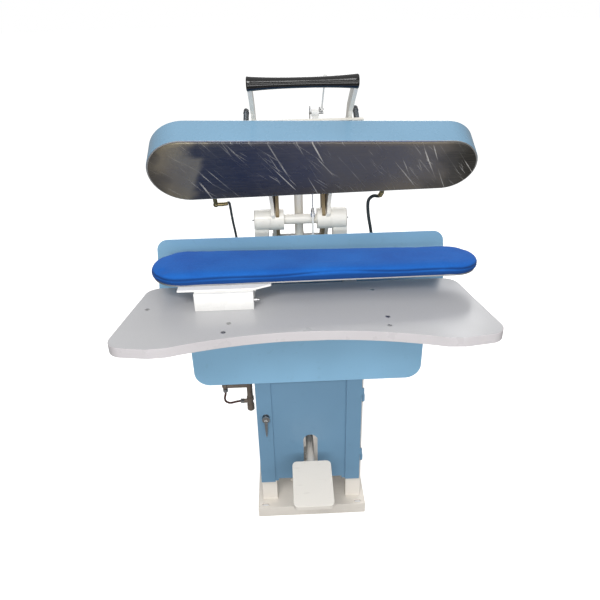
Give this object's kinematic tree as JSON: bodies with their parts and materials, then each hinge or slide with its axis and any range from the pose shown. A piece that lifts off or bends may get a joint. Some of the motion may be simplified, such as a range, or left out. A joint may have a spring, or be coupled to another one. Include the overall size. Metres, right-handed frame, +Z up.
{
  "type": "steam utility press",
  "caption": "Pedestal steam press: a blue padded buck over a worktable, and a hinged steam-heated head closed by a bar handle and a foot pedal.",
  "frame": {"origin": "centre of the base's underside, on the floor plane", "axes": "+X to the press's right as the operator faces it, +Y to the rear, away from the operator, +Z up"},
  "size_m": [1.0858, 0.8507, 1.5399],
  "materials": {
    "cream_paint": "semi-gloss",
    "ivory_paint": "semi-gloss",
    "white_paint": "gloss",
    "cabinet_blue": "semi-gloss",
    "shield_blue": "satin",
    "head_blue": "gloss",
    "tan_paint": "satin",
    "pipe_red": "satin",
    "dark_paint": "gloss",
    "laminate": "satin",
    "edge_white": "gloss",
    "buck_cover": "woven",
    "underpad_felt": "felt",
    "insulation_felt": "felt",
    "steel": "brushed",
    "platen_steel": "polished, scratched",
    "lip_steel": "bright",
    "aluminium": "cast",
    "brass": "dull",
    "hose_braid": "braided",
    "trap_hose": "matte",
    "grip_black": "high gloss",
    "spring_steel": "oiled"
  },
  "bodies": {
    "frame": {"base_frame": "cream_paint", "front_posts": "cream_paint", "main_columns": "cream_paint", "cabinet_panels": "cabinet_blue", "bearing_housings": "ivory_paint", "bearing_bushes": "brass", "table_frame": "cream_paint", "table_board": "laminate", "table_edge_band": "edge_white", "table_screws": "steel", "apron": "shield_blue", "rear_shield": "shield_blue", "panel_brackets": "cream_paint", "buck_neck": "white_paint", "buck_flange": "white_paint", "buck_chest": "aluminium", "buck_underpad": "underpad_felt", "buck_pad": "buck_cover", "steam_riser": "ivory_paint", "drip_leg": "pipe_red", "steam_inlet_pipe": "pipe_red", "steam_fittings": "steel", "trap_hose": "trap_hose", "pedal_brackets": "cream_paint", "pedal_shaft": "steel", "return_spring": "cream_paint", "hinge_leaves": "cabinet_blue", "hinge_pins": "steel"},
    "head": {"head_platen": "platen_steel", "head_lip": "lip_steel", "head_chest": "aluminium", "head_insulation": "insulation_felt", "head_cover": "head_blue", "head_studs": "steel", "stud_sleeves": "steel", "stud_springs": "spring_steel", "dome_nuts": "dark_paint", "yoke_crossbars": "ivory_paint", "left_arm": "ivory_paint", "right_arm": "ivory_paint", "tail_levers": "tan_paint", "pivot_shaft": "ivory_paint", "grease_nipples": "steel", "tail_pin": "steel", "handle_grip": "grip_black", "head_ports": "brass", "head_hose_left": "hose_braid", "head_hose_right": "hose_braid", "valve_body": "white_paint", "link_rod": "steel"},
    "push_rod": {"push_rod": "steel"},
    "link": {"link_strip": "white_paint"},
    "valve_wing": {"valve_wing": "steel"},
    "pull_rod": {"pull_rod": "white_paint"},
    "pedal": {"pedal_lever": "cream_paint", "pedal_pan": "cream_paint"},
    "door": {"door_panel": "cabinet_blue", "door_lock": "steel"},
    "key": {"lock_key": "steel"},
    "tag": {"key_tag": "steel"}
  },
  "joints": [
    {"name": "head_pivot", "type": "hinge", "parent": "frame", "child": "head", "pos_m": [0, 0.074, 1.053], "axis": [1, 0, 0], "range_deg": [0, 61], "stiffness_Nm_per_rad": 50, "springref_deg": -103.13, "deforming": ["head_hose_left", "head_hose_right"]},
    {"name": "rod_pivot", "type": "hinge", "parent": "head", "child": "push_rod", "pos_m": [-0.008, 0.17404, 0.95296], "axis": [1, 0, 0], "range_deg": [-64.5, 0]},
    {"name": "link_pivot", "type": "hinge", "parent": "head", "child": "link", "pos_m": [0.033, 0.045, 1.075], "axis": [1, 0, 0], "range_deg": [-61.5, 0]},
    {"name": "valve_turn", "type": "hinge", "parent": "head", "child": "valve_wing", "pos_m": [0.043, 0.00305, 1.41613], "axis": [1, 0, 0], "range_deg": [0, 30.2]},
    {"name": "pull_rod_slide", "type": "slide", "parent": "head", "child": "pull_rod", "axis": [0, -0.7739, 0.6332], "range_m": [0, 0.00724]},
    {"name": "pedal_pivot", "type": "hinge", "parent": "frame", "child": "pedal", "pos_m": [0, -0.08, 0.255], "axis": [1, 0, 0], "range_deg": [0, 32], "deforming": ["return_spring"]},
    {"name": "door_hinge", "type": "hinge", "parent": "frame", "child": "door", "pos_m": [0.1815, -0.2435, 0.3], "axis": [0, 0, 1], "range_deg": [0, 5]},
    {"name": "key_turn", "type": "hinge", "parent": "door", "child": "key", "pos_m": [-0.152, -0.2505, 0.455], "axis": [0, 1, 0], "range_deg": [0, 90]},
    {"name": "tag_swing", "type": "hinge", "parent": "key", "child": "tag", "pos_m": [-0.152, -0.2505, 0.444], "axis": [0, 1, 0], "range_deg": [-90, 0]}
  ],
  "couplings": [
    {"joint": "rod_pivot", "follows": "head_pivot", "ratio": -1.048},
    {"joint": "link_pivot", "follows": "head_pivot", "ratio": -1},
    {"joint": "pedal_pivot", "follows": "head_pivot", "ratio": 0.52131},
    {"joint": "valve_turn", "follows": "pull_rod_slide", "rad_per_m": 72.251},
    {"joint": "tag_swing", "follows": "key_turn", "ratio": -1}
  ]
}
